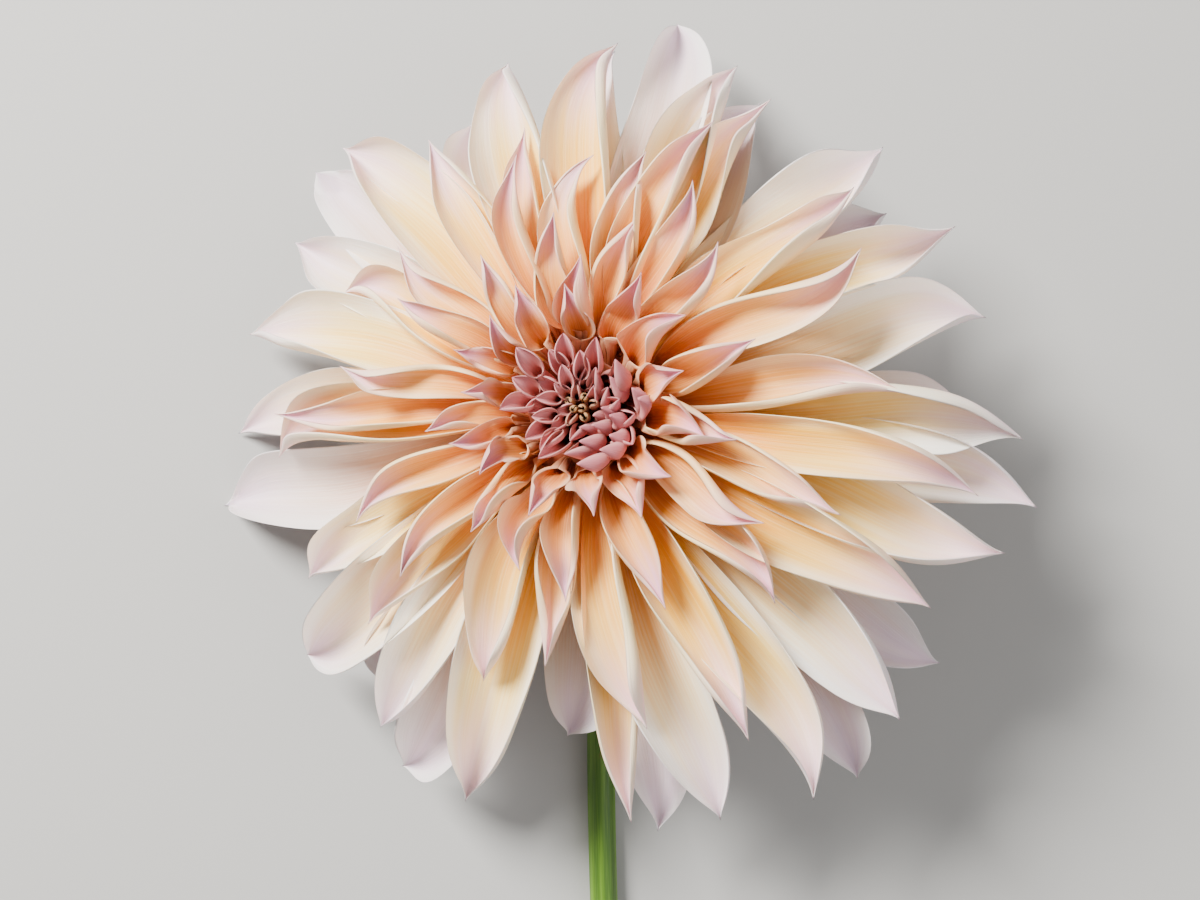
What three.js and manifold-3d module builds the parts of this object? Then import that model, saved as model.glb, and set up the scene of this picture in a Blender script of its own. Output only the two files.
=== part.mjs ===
import * as THREE from 'three';
import { mergeVertices } from 'three/addons/utils/BufferGeometryUtils.js';
import Module from 'manifold-3d';

const wasm = await Module();
wasm.setup();

// A cut dahlia that lies face up on a flat surface, its stem bent behind the head and lying along the
// surface. Millimetres, +Z up from the surface, and the cut end of the stem towards -Y.

// The head: the middle of the receptacle's top, and which way its axis leans from upright
const HEAD = new THREE.Vector3(-3.085, 42.95, 38);
const LEAN_DEG = 14;
const LEAN_AZIMUTH_DEG = 155;

// The stem: it leaves the receptacle along the head's axis, bends down to the surface within the neck's run,
// and then drifts a little to the sides on its way to the cut end
const STEM_RADIUS = 4;
const STEM_SIDES = 12;
const STEM_LENGTH_BEHIND_HEAD = 199;
const STEM_END_OFFSET = 4.5;
const STEM_EARLY_DRIFT = new THREE.Vector3(-4, -50, 0);
const STEM_LATE_DRIFT = new THREE.Vector3(-3, 60, 0);
const STEM_STEPS = 8;
const NECK_RUN = 24;
const NECK_STRAIGHT = 10;
const NECK_TURN = new THREE.Vector2(1.5, -9);
const NECK_STEPS = 10;
const CLEARANCE = 0.35;

// A petal's blade: its steps, how they crowd towards the tip and the margins, where along it the fold
// between its halves deepens, and how it widens from the root
const PETAL_THICKNESS = 0.9;
const BRACT_THICKNESS = 1.1;
const RAY_STEPS_ALONG = 5;
const RAY_STEPS_ACROSS = 3;
const TIP_CROWDING = 1.25;
const MARGIN_CROWDING = 0.78;
const SECTION_STEPS = 12;
const SKEW_SOFTNESS = 0.3;
const FOLD_SPAN = [0.3, 0.95];
const WIDENING_POWER = 1.3;

// How far the draws move a ray floret from its row: degrees, millimetres, or shares of its own measure
const SEED = 90217;
const RAY_DRAWS = {
  lift: 3, tipHeight: 1.5, tipLift: 12, bow: 28, widthShare: 0.08, cupShare: 0.12, twist: 28, skew: 0.28,
  swayShare: 0.08,
};

// The rows of ray florets, from the back of the head to the middle. Heights are along the head's axis from
// the receptacle's top. Each petal is [azimuth in degrees, reach from the axis in mm, rise of its tip in
// mm, twist in degrees, breadth as a share of the row's width], anticlockwise seen from above with 0 at +X,
// as the flower in the photograph has them.
const ROWS = [
  {
    name: 'back', rootRadius: 12, rootHeight: 4, lift: 3, tipHeight: -16, tipLift: -30, width: 28,
    cup: 46, tube: 76, mouth: [0, 0.6], widest: 0.7, taper: 1.5, rootShare: 0.17, fold: 26, pinch: 30,
    curl: 0.3, handle: 0.36, rightGain: 0,
    petals: [
      [140, 119, -6], [263, 88], [191, 119, -4], [229, 100, -6], [238, 115, -6], [277, 114, -4],
      [305, 119, -11], [324, 112, -10], [359, 102, -4], [36, 96, 2], [63, 99, 3], [81, 117, -1],
      [119, 93, -4],
    ],
  },
  {
    name: 'outer lower', rootRadius: 12, rootHeight: 5.5, lift: 15, tipHeight: -8, tipLift: -22,
    width: 29, cup: 60, tube: 96, mouth: [0, 0.6], widest: 0.7, taper: 1.5, rootShare: 0.17, fold: 26,
    pinch: 36, curl: 0.35, handle: 0.36, rightGain: 0,
    petals: [
      [181, 111, -6], [150, 107, 2], [114, 97, -4], [89, 106, -3], [44, 107, -3], [14, 107, -3],
      [348, 119, -4, -20], [315, 114, 0, 0, 1.15], [287, 113, -1], [234, 106, 2], [217, 110, -6, 0, 1.1],
    ],
  },
  {
    name: 'outer upper', rootRadius: 12, rootHeight: 7, lift: 26, tipHeight: -2, tipLift: -16,
    width: 27.5, cup: 74, tube: 110, mouth: [0, 0.6], widest: 0.7, taper: 1.55, rootShare: 0.17,
    fold: 26, pinch: 44, curl: 0.4, handle: 0.36, rightGain: 0,
    petals: [
      [166, 108, -3], [134, 111, -2, 0, 1.15], [105, 105, 2, 0, 1.25], [69, 105, -5], [27, 108, -1],
      [356, 113, 0, 30], [341, 114, 2, 0, 1.3], [300, 117, -1], [251, 111, 0, 0, 1.15], [208, 95, -3],
    ],
  },
  {
    name: 'second', rootRadius: 12, rootHeight: 9, lift: 36, tipHeight: 7, tipLift: -12, width: 23.5,
    cup: 96, tube: 150, mouth: [0.08, 0.6], widest: 0.67, taper: 1.6, rootShare: 0.17, fold: 22,
    pinch: 50, curl: 0.5, handle: 0.36, rightGain: 0,
    petals: [
      [276, 109, -3], [330, 103, 0, 0, 1.35], [87, 104, -4, 0, 1.2], [60, 97], [121, 89, 4],
      [187, 91, -3], [154, 82, -4], [223, 84, 1], [249, 77, 3], [347, 104, 4], [39, 91, 4], [297, 96, 5],
      [282, 85, 8],
    ],
  },
  {
    name: 'third', rootRadius: 12.5, rootHeight: 10.5, lift: 46, tipHeight: 18, tipLift: -2, width: 18.5,
    cup: 114, tube: 160, mouth: [0.2, 0.68], widest: 0.64, taper: 1.6, rootShare: 0.22, fold: 20,
    pinch: 50, curl: 0.55, handle: 0.4, rightGain: 0.1,
    petals: [
      [28, 83, 3], [1, 84, 5], [337, 74, 7], [180, 87, -1], [139, 68, 1], [103, 80, -4], [206, 69],
      [223, 66, 3], [170, 66, 7], [87, 67, 2], [75, 69, 6], [65, 83, 1], [315, 72, 1], [263, 68, 3],
    ],
  },
  {
    name: 'fourth', rootRadius: 13, rootHeight: 12, lift: 54, tipHeight: 29, tipLift: 6, width: 16.5,
    cup: 118, tube: 160, mouth: [0.3, 0.72], widest: 0.62, taper: 1.6, rootShare: 0.28, fold: 18,
    pinch: 50, curl: 0.55, handle: 0.42, rightGain: 0.15,
    petals: [
      [149, 55], [104, 69, -5], [62, 65, -2], [46, 55, 2], [17, 50, 3], [328, 59, 4], [295, 58, -2],
      [269, 51], [254, 45, 1], [233, 42, 2], [191, 39, 4], [122, 46, 2], [95, 49, 3], [70, 51, 0],
      [346, 45, 5],
    ],
  },
  {
    name: 'fifth', rootRadius: 13.4, rootHeight: 14, lift: 62, tipHeight: 37, tipLift: 20, width: 14.5,
    cup: 112, tube: 160, mouth: [0.4, 0.76], widest: 0.6, taper: 1.5, rootShare: 0.36, fold: 14,
    pinch: 46, curl: 0.5, handle: 0.45, rightGain: 0.2,
    petals: [
      [344, 37, -2, 20], [34, 37, -2, -20], [58, 37, -1], [84, 37, 1], [115, 33, -2], [132, 29],
      [156, 33, -2], [199, 33, -5], [222, 29, 2], [254, 31], [285, 31, -1], [303, 36, -2], [90, 29, 0],
      [12, 31, 0, -20], [176, 27, 0], [324, 34, -2],
    ],
  },
];

// The skirt under the head: strongly bent back petals whose tips rest on the surface, clear of the stem
const SKIRT = {
  azimuths: [20, 60, 100, 140, 180, 220, 300, 340], rootRadius: 12, rootHeight: 3.2, lift: -8, reach: 80,
  reachDraw: 5, tipHeight: -12, tipLift: -20, width: 19, widest: 0.6, cup: 14, tube: 44, mouth: [0, 0.6],
};

// The centre florets: a spiral of small rolled florets inside a cone that opens upwards and leans to one
// side
const CENTRE_FLORETS = 48;
const GOLDEN_ANGLE_DEG = 137.508;
const CENTRE_CONE_RADIUS = 8.2;
const CENTRE_CONE_FOOT = 12.4;
const CENTRE_CONE_SLOPE = 0.51;
const CENTRE_CONE_LEAN = 0.1;
const CENTRE_CONE_EASE = 0.8;
const OUTSIDE_CONE_MARGIN = 0.9;
const INSIDE_CONE_MARGIN = -0.2;
const ROOTS_NEAR_CONE = 9.5;
const CENTRE_ROOT_RADIUS = 7.2;
const CENTRE_ROOT_HEIGHT = 13.5;
const CENTRE_REACH = 20;
const CENTRE_TIP_HEIGHT = 37;
const CENTRE_WIDTH = 12.2;
const INCURVED_AZIMUTH_DEG = -25;
const INCURVED_TIP_LEAN = 3.5;
const INCURVED_TIP_LIFT = 34;
const LESS_INCURVED_EVERY = 4;
const LESS_INCURVED_SHARE = 0.5;
const CENTRE_DRAWS = { azimuth: 8, reachShare: 0.09, tipHeight: 1.6, bow: 24, twist: 30 };

// The bracts, each a ring of equal blades
const PAPERY_BRACTS = {
  count: 8, azimuth: 20, rootRadius: 10, rootHeight: 0.2, lift: -12, reach: 23, tipHeight: -9, tipLift: -48,
  width: 10.5, widest: 0.5, cup: -24,
};
const GREEN_BRACTS = {
  count: 5, azimuth: 18, rootRadius: 5, rootHeight: -7.5, lift: -8, reach: 26, tipHeight: -24, tipLift: -62,
  width: 9, widest: 0.55, cup: 20, pinch: 20, bowDraw: 6, twistDraw: 8,
};
const BRACT_ROOT_SHARE = 0.6;

// The turned bodies, as [radius, height] along the head's axis
const DOME_SIDES = 18;
const DOME_PROFILE = [
  [0, 1.9], [16, 1.9], [19, 5], [19, 9], [17.4, 13.5], [14.6, 17], [13, 18.3], [12.2, 17.6], [8.8, 12],
  [0, 12],
];
const CENTRE_TIP_SIDES = 12;
const CENTRE_TIP_PROFILE = [[0, 12.4], [7.2, 12.4], [8.2, 15], [6.2, 18.5], [3, 20.5], [0, 21]];
const COLLAR_SIDES = 16;
const COLLAR_PROFILE = [[0, -1.1], [12.6, -1.1], [13.1, 0.4], [12.8, 1.5], [0, 1.5]];
const CUP_SIDES = 16;
const CUP_FOOT = -15;
const CUP_PROFILE = [
  [0, CUP_FOOT], [4.5, CUP_FOOT], [5.4, -12], [8.4, -7], [11.2, -3.4], [11.6, -1.5], [0, -1.5],
];

// The head's own frame
const radians = (degrees) => (degrees * Math.PI) / 180;
const leanTurn = new THREE.Quaternion().setFromAxisAngle(aim(LEAN_AZIMUTH_DEG + 90, 0), radians(LEAN_DEG));
const headAxis = new THREE.Vector3(0, 0, 1).applyQuaternion(leanTurn);

function aim(azimuthDeg, liftDeg) {
  const level = Math.cos(radians(liftDeg));
  return new THREE.Vector3(
    level * Math.cos(radians(azimuthDeg)),
    level * Math.sin(radians(azimuthDeg)),
    Math.sin(radians(liftDeg)),
  );
}

function headAim(azimuthDeg, liftDeg) {
  return aim(azimuthDeg, liftDeg).applyQuaternion(leanTurn);
}

function headPoint(radius, azimuthDeg, height) {
  const point = aim(azimuthDeg, 0).multiplyScalar(radius);
  point.z = height;
  return point.applyQuaternion(leanTurn).add(HEAD);
}

// A repeatable draw between -1 and 1
let drawState = SEED;
function draw() {
  drawState = (drawState * 48271) % 2147483647;
  return (2 * drawState) / 2147483647 - 1;
}

// 0 before start, 1 after end, and an eased rise between them
function smooth(x, start, end) {
  const t = Math.min(Math.max((x - start) / (end - start), 0), 1);
  return t * t * (3 - 2 * t);
}

// The angle that a section has turned up by at v, from -1 at one margin to 1 at the other. More of the turn
// comes near the margins by `curl`, and more of it on one side by `skew`.
function sectionAngle(v, turn, curl, skew) {
  return turn * (1 + skew * Math.tanh(v / SKEW_SOFTNESS)) * v * (1 - curl + curl * v * v);
}

// Where a section lies at v, in half-widths sideways and up: the running sums of that angle's cosine and
// sine. Each half is tilted up by `fold` radians besides.
function sectionPoint(v, turn, curl, skew, fold) {
  let side = 0;
  let up = 0;
  for (let k = 0; k < SECTION_STEPS; k += 1) {
    const angle = sectionAngle((v * (k + 0.5)) / SECTION_STEPS, turn, curl, skew);
    side += (v * Math.cos(angle)) / SECTION_STEPS;
    up += (v * Math.sin(angle)) / SECTION_STEPS;
  }
  const tilt = fold * Math.sign(v);
  return {
    side: side * Math.cos(tilt) - up * Math.sin(tilt),
    up: side * Math.sin(tilt) + up * Math.cos(tilt),
    angle: sectionAngle(v, turn, curl, skew) + tilt,
  };
}

// How wide the blade is at u, from 0 at the root to 1 at the tip, as a share of its full width
function bladeWidth(u, widest, rootShare, taper) {
  if (u < widest) {
    const rise = Math.sin((Math.PI / 2) * (u / widest));
    return rootShare + (1 - rootShare) * rise ** WIDENING_POWER;
  }
  const fall = (u - widest) / (1 - widest);
  return (1 - fall ** 3) ** taper;
}

// The solid of one blade. Its spine is a cubic curve that leaves the root along rootAim and comes into the
// tip along tipAim, and sways to the sides by `sway` times the sine of a full turn. Its section turns up by
// `tube` degrees at the margins before its mouth and by `cup` past it, and by `pinch` more at the tip. The
// mouth opens like a quarter circle. Front and back share their border, and both faces are split into
// triangles alike.
function blade(form) {
  const { root, rootAim, tip, tipAim, rootSide, tipSide, width, widest, cup, along, across, keepIn } = form;
  const { tube, mouth, pinch, twist, fold, curl, skew, sway, handle, rootShare, taper, thickness } = {
    tube: cup, mouth: [0, 1], pinch: 0, twist: 0, fold: 0, curl: 0, skew: 0, sway: 0, handle: 0.36,
    rootShare: 0.17, taper: 1.1, thickness: PETAL_THICKNESS, ...form,
  };
  const reach = root.distanceTo(tip);
  const spine = new THREE.CubicBezierCurve3(
    root,
    root.clone().addScaledVector(rootAim, reach * handle),
    tip.clone().addScaledVector(tipAim, -reach * handle),
    tip,
  );
  const front = [];
  const back = [];
  for (let i = 0; i <= along; i += 1) {
    const u = 1 - (1 - i / along) ** TIP_CROWDING;
    const middle = spine.getPoint(u);
    const forward = spine.getTangent(u);
    const side = rootSide.clone().lerp(tipSide, u);
    side.addScaledVector(forward, -side.dot(forward)).normalize();
    middle.addScaledVector(side, sway * Math.sin(2 * Math.PI * u) * u ** 2);
    side.applyAxisAngle(forward, radians(twist) * u ** 2);
    const up = forward.clone().cross(side);
    const halfWidth = 0.5 * width * (i === along ? 0 : bladeWidth(u, widest, rootShare, taper));
    const inMouth = Math.min(Math.max((u - mouth[0]) / (mouth[1] - mouth[0]), 0), 1);
    const opening = Math.sqrt(inMouth * (2 - inMouth));
    const turn = radians(tube + (cup - tube) * opening + pinch * u ** 3);
    const tilt = radians(fold) * smooth(u, ...FOLD_SPAN);
    for (let j = 0; j <= across; j += 1) {
      const even = (2 * j) / across - 1;
      const v = Math.sign(even) * Math.abs(even) ** MARGIN_CROWDING;
      const section = sectionPoint(v, turn, curl * opening, skew * opening, tilt);
      const point = middle.clone();
      point.addScaledVector(side, halfWidth * section.side);
      point.addScaledVector(up, halfWidth * section.up);
      const border = i === 0 || i === along || j === 0 || j === across;
      const half = border ? 0 : 0.5 * thickness * Math.sqrt(1 - v * v);
      const normal = up.clone().multiplyScalar(Math.cos(section.angle));
      normal.addScaledVector(side, -Math.sin(section.angle));
      if (keepIn) {
        keepIn(point);
      }
      const above = point.clone().addScaledVector(normal, half);
      const below = point.clone().addScaledVector(normal, -half);
      // Pressed flat where it would sink into the surface
      if (Math.min(above.z, below.z) < 0) {
        above.z = Math.max(above.z, 2 * half);
        below.z = Math.max(below.z, 0);
        if (border) {
          above.z = 0;
          below.z = 0;
        }
      }
      front.push(above);
      back.push(below);
    }
  }
  return closedBlade(front, back, along, across);
}

// Joins the two faces of a blade into one closed solid
function closedBlade(front, back, along, across) {
  const positions = [];
  const place = (point) => {
    positions.push(point.x, point.y, point.z);
    return positions.length / 3 - 1;
  };
  const row = across + 1;
  const tip = place(front[along * row]);
  const frontIndex = [];
  const backIndex = [];
  for (let i = 0; i < along; i += 1) {
    for (let j = 0; j <= across; j += 1) {
      const border = i === 0 || j === 0 || j === across;
      const index = place(front[i * row + j]);
      frontIndex.push(index);
      backIndex.push(border ? index : place(back[i * row + j]));
    }
  }
  const triangles = [];
  const at = (indices, i, j) => (i === along ? tip : indices[i * row + j]);
  const addFace = (indices, flip) => {
    const add = (a, b, c) => triangles.push(...(flip ? [a, c, b] : [a, b, c]));
    for (let i = 0; i < along; i += 1) {
      for (let j = 0; j < across; j += 1) {
        const a = at(indices, i, j);
        const b = at(indices, i + 1, j);
        const c = at(indices, i + 1, j + 1);
        const d = at(indices, i, j + 1);
        if (i === along - 1) {
          add(a, tip, d);
        } else if (j < across / 2) {
          add(a, b, c);
          add(a, c, d);
        } else {
          add(a, b, d);
          add(b, c, d);
        }
      }
    }
  };
  addFace(frontIndex, false);
  addFace(backIndex, true);
  return solidOf(positions, triangles);
}

function solidOf(positions, triangles) {
  return new wasm.Manifold(new wasm.Mesh({
    numProp: 3,
    vertProperties: Float32Array.from(positions),
    triVerts: Uint32Array.from(triangles),
  }));
}

// A turned solid about the head's axis, from a profile of [radius, height] that starts and ends on the axis
function turned(profile, sides) {
  const geometry = new THREE.LatheGeometry(profile.map(([r, h]) => new THREE.Vector2(r, h)), sides);
  geometry.deleteAttribute('normal');
  geometry.deleteAttribute('uv');
  geometry.rotateX(Math.PI / 2);
  geometry.applyQuaternion(leanTurn);
  geometry.translate(HEAD.x, HEAD.y, HEAD.z);
  const merged = mergeVertices(geometry, 1e-4);
  const index = merged.getIndex().array;
  const triangles = [];
  for (let k = 0; k < index.length; k += 3) {
    const [a, b, c] = [index[k], index[k + 1], index[k + 2]];
    if (a !== b && b !== c && c !== a) {
      triangles.push(a, b, c);
    }
  }
  return solidOf(merged.getAttribute('position').array, triangles);
}

// A ray floret or bract on the head, placed by its root and tip in the head's frame
function headBlade(form) {
  const rootAzimuth = form.rootAzimuth ?? form.azimuth;
  return blade({
    root: headPoint(form.rootRadius, rootAzimuth, form.rootHeight),
    rootAim: headAim(rootAzimuth, form.lift),
    tip: headPoint(form.reach, form.azimuth, form.tipHeight),
    tipAim: headAim(form.azimuth + form.bow, form.tipLift),
    rootSide: headAim(rootAzimuth + 90, 0),
    tipSide: headAim(form.azimuth + 90, 0),
    ...form,
  });
}

// How much wider a petal is made for lying to the right
function rightwards(gain, azimuth) {
  return 1 + gain * Math.cos(radians(azimuth));
}

// The ray florets of one row
function rayFlorets(row) {
  return row.petals.map(([azimuth, reach, rise = 0, twist = 0, breadth = 1]) => headBlade({
    azimuth,
    reach,
    rootRadius: row.rootRadius,
    rootHeight: row.rootHeight,
    lift: row.lift + RAY_DRAWS.lift * draw(),
    tipHeight: row.tipHeight + rise + RAY_DRAWS.tipHeight * draw(),
    tipLift: row.tipLift + RAY_DRAWS.tipLift * draw(),
    bow: RAY_DRAWS.bow * draw(),
    width: row.width * breadth * (1 + RAY_DRAWS.widthShare * draw()) * rightwards(row.rightGain, azimuth),
    widest: row.widest,
    cup: row.cup * (1 + RAY_DRAWS.cupShare * draw()),
    tube: row.tube,
    mouth: row.mouth,
    rootShare: row.rootShare,
    pinch: row.pinch,
    twist: twist + RAY_DRAWS.twist * draw(),
    fold: row.fold,
    curl: row.curl,
    skew: RAY_DRAWS.skew * draw(),
    sway: RAY_DRAWS.swayShare * reach * draw(),
    taper: row.taper,
    handle: row.handle,
    along: RAY_STEPS_ALONG,
    across: RAY_STEPS_ACROSS,
    keepIn: row.rootHeight > ROOTS_NEAR_CONE ? outsideCentreCone : null,
  }));
}

// The petals of the skirt, which rest their tips on the surface
function skirtPetals() {
  return SKIRT.azimuths.map((azimuth) => {
    const tip = aim(azimuth, 0).multiplyScalar(SKIRT.reach + SKIRT.reachDraw * draw());
    tip.add(HEAD);
    tip.z = SKIRT.tipHeight;
    return blade({
      ...SKIRT,
      root: headPoint(SKIRT.rootRadius, azimuth, SKIRT.rootHeight),
      rootAim: headAim(azimuth, SKIRT.lift),
      tip,
      tipAim: aim(azimuth, SKIRT.tipLift),
      rootSide: headAim(azimuth + 90, 0),
      tipSide: aim(azimuth + 90, 0),
      along: 4,
      across: 2,
    });
  });
}

// Moves a point of a ray floret out of the cone that the centre florets fill
function outsideCentreCone(point) {
  moveAcrossCone(point, OUTSIDE_CONE_MARGIN, 1);
}

// Moves a point of a centre floret into that cone
function insideCentreCone(point) {
  moveAcrossCone(point, INSIDE_CONE_MARGIN, -1);
}

// A point's distance from the cone's axis is eased past the cone's own radius there, outwards where way is
// 1 and inwards where it is -1
function moveAcrossCone(point, margin, way) {
  const local = point.clone().sub(HEAD);
  const height = local.dot(headAxis);
  const outward = local.addScaledVector(headAxis, -height);
  outward.addScaledVector(headAim(INCURVED_AZIMUTH_DEG, 0), -CENTRE_CONE_LEAN * (height - CENTRE_CONE_FOOT));
  const radius = outward.length();
  const cone = Math.max(CENTRE_CONE_RADIUS + (height - CENTRE_CONE_FOOT) * CENTRE_CONE_SLOPE + margin, 1);
  const past = (way * (radius - cone)) / CENTRE_CONE_EASE;
  const eased = past > 30 ? past : Math.log1p(Math.exp(past));
  const wanted = Math.max(cone + way * CENTRE_CONE_EASE * eased, 0.05);
  point.addScaledVector(outward, (wanted - radius) / Math.max(radius, 1e-6));
}

// The centre florets, from the outermost to the bud tips in the middle. Those on the left and at the top
// open outwards as small cups, and those on the right and below lean over the middle and show their backs.
function centreFlorets() {
  const florets = [];
  for (let k = 0; k < CENTRE_FLORETS; k += 1) {
    const inward = k / (CENTRE_FLORETS - 1);
    const azimuth = (k * GOLDEN_ANGLE_DEG) % 360;
    const ring = Math.sqrt(1 - 0.97 * inward);
    const facing = 0.5 + 0.5 * Math.cos(radians(azimuth - INCURVED_AZIMUTH_DEG));
    const incurved = smooth(facing, 0.3, 0.75) * (k % LESS_INCURVED_EVERY === 1 ? LESS_INCURVED_SHARE : 1);
    const bud = smooth(inward, 0.8, 0.94);
    const tipAzimuth = azimuth + CENTRE_DRAWS.azimuth * draw();
    const drawnIn = (8 - 4 * ring) * incurved * (1 - bud) * ring;
    const reach = (CENTRE_REACH * ring ** 1.3 - drawnIn) * (1 + CENTRE_DRAWS.reachShare * draw());
    const tipHeight = CENTRE_TIP_HEIGHT + 3 * incurved - 6 * inward + CENTRE_DRAWS.tipHeight * draw();
    const outwardAim = headAim(tipAzimuth + CENTRE_DRAWS.bow * draw(), 30 + 56 * bud);
    const overAim = headAim(INCURVED_AZIMUTH_DEG + 180, INCURVED_TIP_LIFT);
    const tip = headPoint(reach, tipAzimuth, tipHeight);
    tip.addScaledVector(headAim(INCURVED_AZIMUTH_DEG, 0), INCURVED_TIP_LEAN);
    florets.push(blade({
      root: headPoint(CENTRE_ROOT_RADIUS * ring, azimuth, CENTRE_ROOT_HEIGHT + 3.5 * inward),
      rootAim: headAim(azimuth, 56 + 28 * inward - 13 * incurved),
      tip,
      tipAim: outwardAim.lerp(overAim, incurved * (1 - bud)).normalize(),
      rootSide: headAim(azimuth + 90, 0),
      tipSide: headAim(tipAzimuth + 90, 0),
      width: (CENTRE_WIDTH + incurved) * (1 - 0.55 * inward),
      widest: 0.78 - 0.1 * incurved,
      rootShare: 0.35,
      cup: 102 - 22 * incurved + 66 * bud,
      tube: 155 - 50 * incurved + 10 * bud,
      mouth: [0.72 - 0.22 * incurved, 0.98],
      twist: CENTRE_DRAWS.twist * draw(),
      fold: 14 + 18 * incurved * (1 - bud),
      curl: 0.25,
      handle: 0.42 + 0.12 * incurved,
      taper: 0.95 - 0.8 * bud,
      along: 4,
      across: 2,
      keepIn: insideCentreCone,
    }));
  }
  return florets;
}

// Joins solids into one body. A hollow that the joining seals is filled, and a loose scrap is dropped: of
// the closed skins that the joined solid has, only the one round the most volume is kept.
function fused(solids) {
  const skins = wasm.Manifold.union(solids).decompose();
  return skins.reduce((largest, skin) => (skin.volume() > largest.volume() ? skin : largest));
}

// A mesh from a joined solid, with its own flat-shaded material
function meshOf(name, solid, material) {
  const { vertProperties, triVerts } = solid.getMesh();
  const geometry = new THREE.BufferGeometry();
  geometry.setAttribute('position', new THREE.BufferAttribute(Float32Array.from(vertProperties), 3));
  geometry.setIndex(Array.from(triVerts));
  geometry.computeVertexNormals();
  const mesh = new THREE.Mesh(geometry, new THREE.MeshStandardMaterial({ flatShading: true, ...material }));
  mesh.name = name;
  return mesh;
}

// The petals, on the domed part of the receptacle that carries them
function rayFloretBody() {
  const dome = turned(DOME_PROFILE, DOME_SIDES);
  return fused([dome, ...ROWS.flatMap(rayFlorets), ...skirtPetals()]);
}

// The centre florets, on the tip of the receptacle
function centreFloretBody() {
  const cone = turned(CENTRE_TIP_PROFILE, CENTRE_TIP_SIDES);
  return fused([cone, ...centreFlorets()]);
}

// A ring of equal bracts
function bractRing(bracts, thickness, along) {
  const blades = [];
  for (let k = 0; k < bracts.count; k += 1) {
    blades.push(headBlade({
      ...bracts,
      azimuth: bracts.azimuth + (k * 360) / bracts.count,
      bow: bracts.bowDraw ? bracts.bowDraw * draw() : 0,
      twist: bracts.twistDraw ? bracts.twistDraw * draw() : 0,
      rootShare: BRACT_ROOT_SHARE,
      thickness,
      along,
      across: 2,
    }));
  }
  return blades;
}

// The papery inner bracts, around the roots of the petals
function innerBractBody() {
  return fused([turned(COLLAR_PROFILE, COLLAR_SIDES), ...bractRing(PAPERY_BRACTS, PETAL_THICKNESS, 4)]);
}

// The green receptacle with its outer bracts, bent back and clear of the neck
function receptacleBody() {
  return fused([turned(CUP_PROFILE, CUP_SIDES), ...bractRing(GREEN_BRACTS, BRACT_THICKNESS, 5)]);
}

// The stem: from the receptacle down a short bend, then along the surface to its cut end
function stemBody() {
  const top = headPoint(0, 0, CUP_FOOT - CLEARANCE);
  const neck = new THREE.CubicBezierCurve3(
    top,
    top.clone().addScaledVector(headAxis, -NECK_STRAIGHT),
    new THREE.Vector3(top.x + NECK_TURN.x, top.y + NECK_TURN.y, STEM_RADIUS),
    new THREE.Vector3(top.x, top.y - NECK_RUN, STEM_RADIUS),
  );
  const end = new THREE.Vector3(HEAD.x + STEM_END_OFFSET, HEAD.y - STEM_LENGTH_BEHIND_HEAD, STEM_RADIUS);
  const run = new THREE.CubicBezierCurve3(
    neck.v3,
    neck.v3.clone().add(STEM_EARLY_DRIFT),
    end.clone().add(STEM_LATE_DRIFT),
    end,
  );
  const path = [];
  for (let k = 0; k < NECK_STEPS; k += 1) {
    path.push({ point: neck.getPoint(k / NECK_STEPS), forward: neck.getTangent(k / NECK_STEPS) });
  }
  for (let k = 0; k <= STEM_STEPS; k += 1) {
    path.push({ point: run.getPoint(k / STEM_STEPS), forward: run.getTangent(k / STEM_STEPS) });
  }
  return sweptRound(path, STEM_RADIUS, STEM_SIDES);
}

// A round bar swept along a path, with one flat side down where it lies level
function sweptRound(path, radius, sides) {
  const positions = [];
  const across = new THREE.Vector3(1, 0, 0);
  const flatRadius = radius / Math.cos(Math.PI / sides);
  for (const { point, forward } of path) {
    const side = across.clone().addScaledVector(forward, -across.dot(forward)).normalize();
    const up = side.clone().cross(forward);
    for (let k = 0; k < sides; k += 1) {
      const angle = ((k + 0.5) * 2 * Math.PI) / sides;
      const vertex = point.clone();
      vertex.addScaledVector(side, flatRadius * Math.cos(angle));
      vertex.addScaledVector(up, flatRadius * Math.sin(angle));
      positions.push(vertex.x, vertex.y, Math.max(vertex.z, 0));
    }
  }
  const triangles = [];
  const rings = path.length;
  for (let i = 0; i < rings - 1; i += 1) {
    for (let k = 0; k < sides; k += 1) {
      const a = i * sides + k;
      const b = i * sides + ((k + 1) % sides);
      triangles.push(a, b + sides, b, a, a + sides, b + sides);
    }
  }
  for (let k = 1; k < sides - 1; k += 1) {
    const last = (rings - 1) * sides;
    triangles.push(0, k, k + 1, last, last + k + 1, last + k);
  }
  return solidOf(positions, triangles);
}

const dahlia = new THREE.Group();
dahlia.add(
  meshOf('ray_florets', rayFloretBody(), { color: 0xe8c09c, roughness: 0.6, metalness: 0 }),
  meshOf('centre_florets', centreFloretBody(), { color: 0xb9747a, roughness: 0.6, metalness: 0 }),
  meshOf('inner_bracts', innerBractBody(), { color: 0xb9a67c, roughness: 0.5, metalness: 0 }),
  meshOf('receptacle_and_bracts', receptacleBody(), { color: 0x6c8a3f, roughness: 0.55, metalness: 0 }),
  meshOf('stem', stemBody(), { color: 0x7f9a4c, roughness: 0.5, metalness: 0 }),
);

export default dahlia;
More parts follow.
